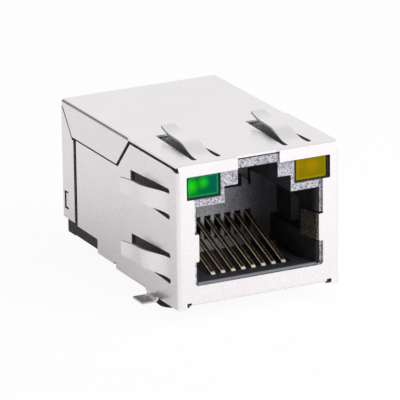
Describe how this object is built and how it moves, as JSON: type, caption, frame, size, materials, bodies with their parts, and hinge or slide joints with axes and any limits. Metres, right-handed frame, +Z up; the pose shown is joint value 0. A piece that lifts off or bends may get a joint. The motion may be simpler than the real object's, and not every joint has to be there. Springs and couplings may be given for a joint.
{
  "type": "rj45 board jack",
  "caption": "Shielded board-mount jack for a modular network plug, with spring fingers, two lamps, locating pegs and an enclosed transformer module.",
  "frame": {"origin": "on the board's top face, midway between the two locating pegs", "axes": "+X right seen from the plug's side, +Y from the plug mouth towards the back panel, +Z up from the board"},
  "size_m": [0.019, 0.025, 0.016],
  "materials": {
    "shield": "satin nickel plate",
    "housing": "glass-filled nylon, fine grain",
    "carrier": "moulded",
    "contacts": "gold plate over bronze",
    "green_lamp": "diffused epoxy",
    "yellow_lamp": "diffused epoxy",
    "lamp_leads": "tinned",
    "circuit_board": "solder mask",
    "core": "ferrite",
    "winding": "enamelled copper wire",
    "capacitor": "fired ceramic",
    "resistor": "thick film, sealed",
    "board_leads": "tin plate"
  },
  "bodies": {
    "root": {"shield": "shield", "housing": "housing", "contact_carrier": "carrier", "green_lamp": "green_lamp", "yellow_lamp": "yellow_lamp", "green_lamp_leads": "lamp_leads", "yellow_lamp_leads": "lamp_leads", "circuit_board": "circuit_board", "surge_capacitor": "capacitor", "termination_resistors": "resistor", "lead_carrier": "carrier", "contact_1": "contacts", "contact_2": "contacts", "contact_3": "contacts", "contact_4": "contacts", "contact_5": "contacts", "contact_6": "contacts", "contact_7": "contacts", "contact_8": "contacts", "transformer_core_1": "core", "choke_core_1": "core", "transformer_winding_1": "winding", "choke_winding_1": "winding", "transformer_core_2": "core", "choke_core_2": "core", "transformer_winding_2": "winding", "choke_winding_2": "winding", "board_lead_1": "board_leads", "board_lead_2": "board_leads", "board_lead_3": "board_leads", "board_lead_4": "board_leads", "board_lead_5": "board_leads", "board_lead_6": "board_leads", "board_lead_7": "board_leads", "board_lead_8": "board_leads", "board_lead_9": "board_leads", "board_lead_10": "board_leads", "board_lead_11": "board_leads", "board_lead_12": "board_leads"}
  },
  "joints": []
}
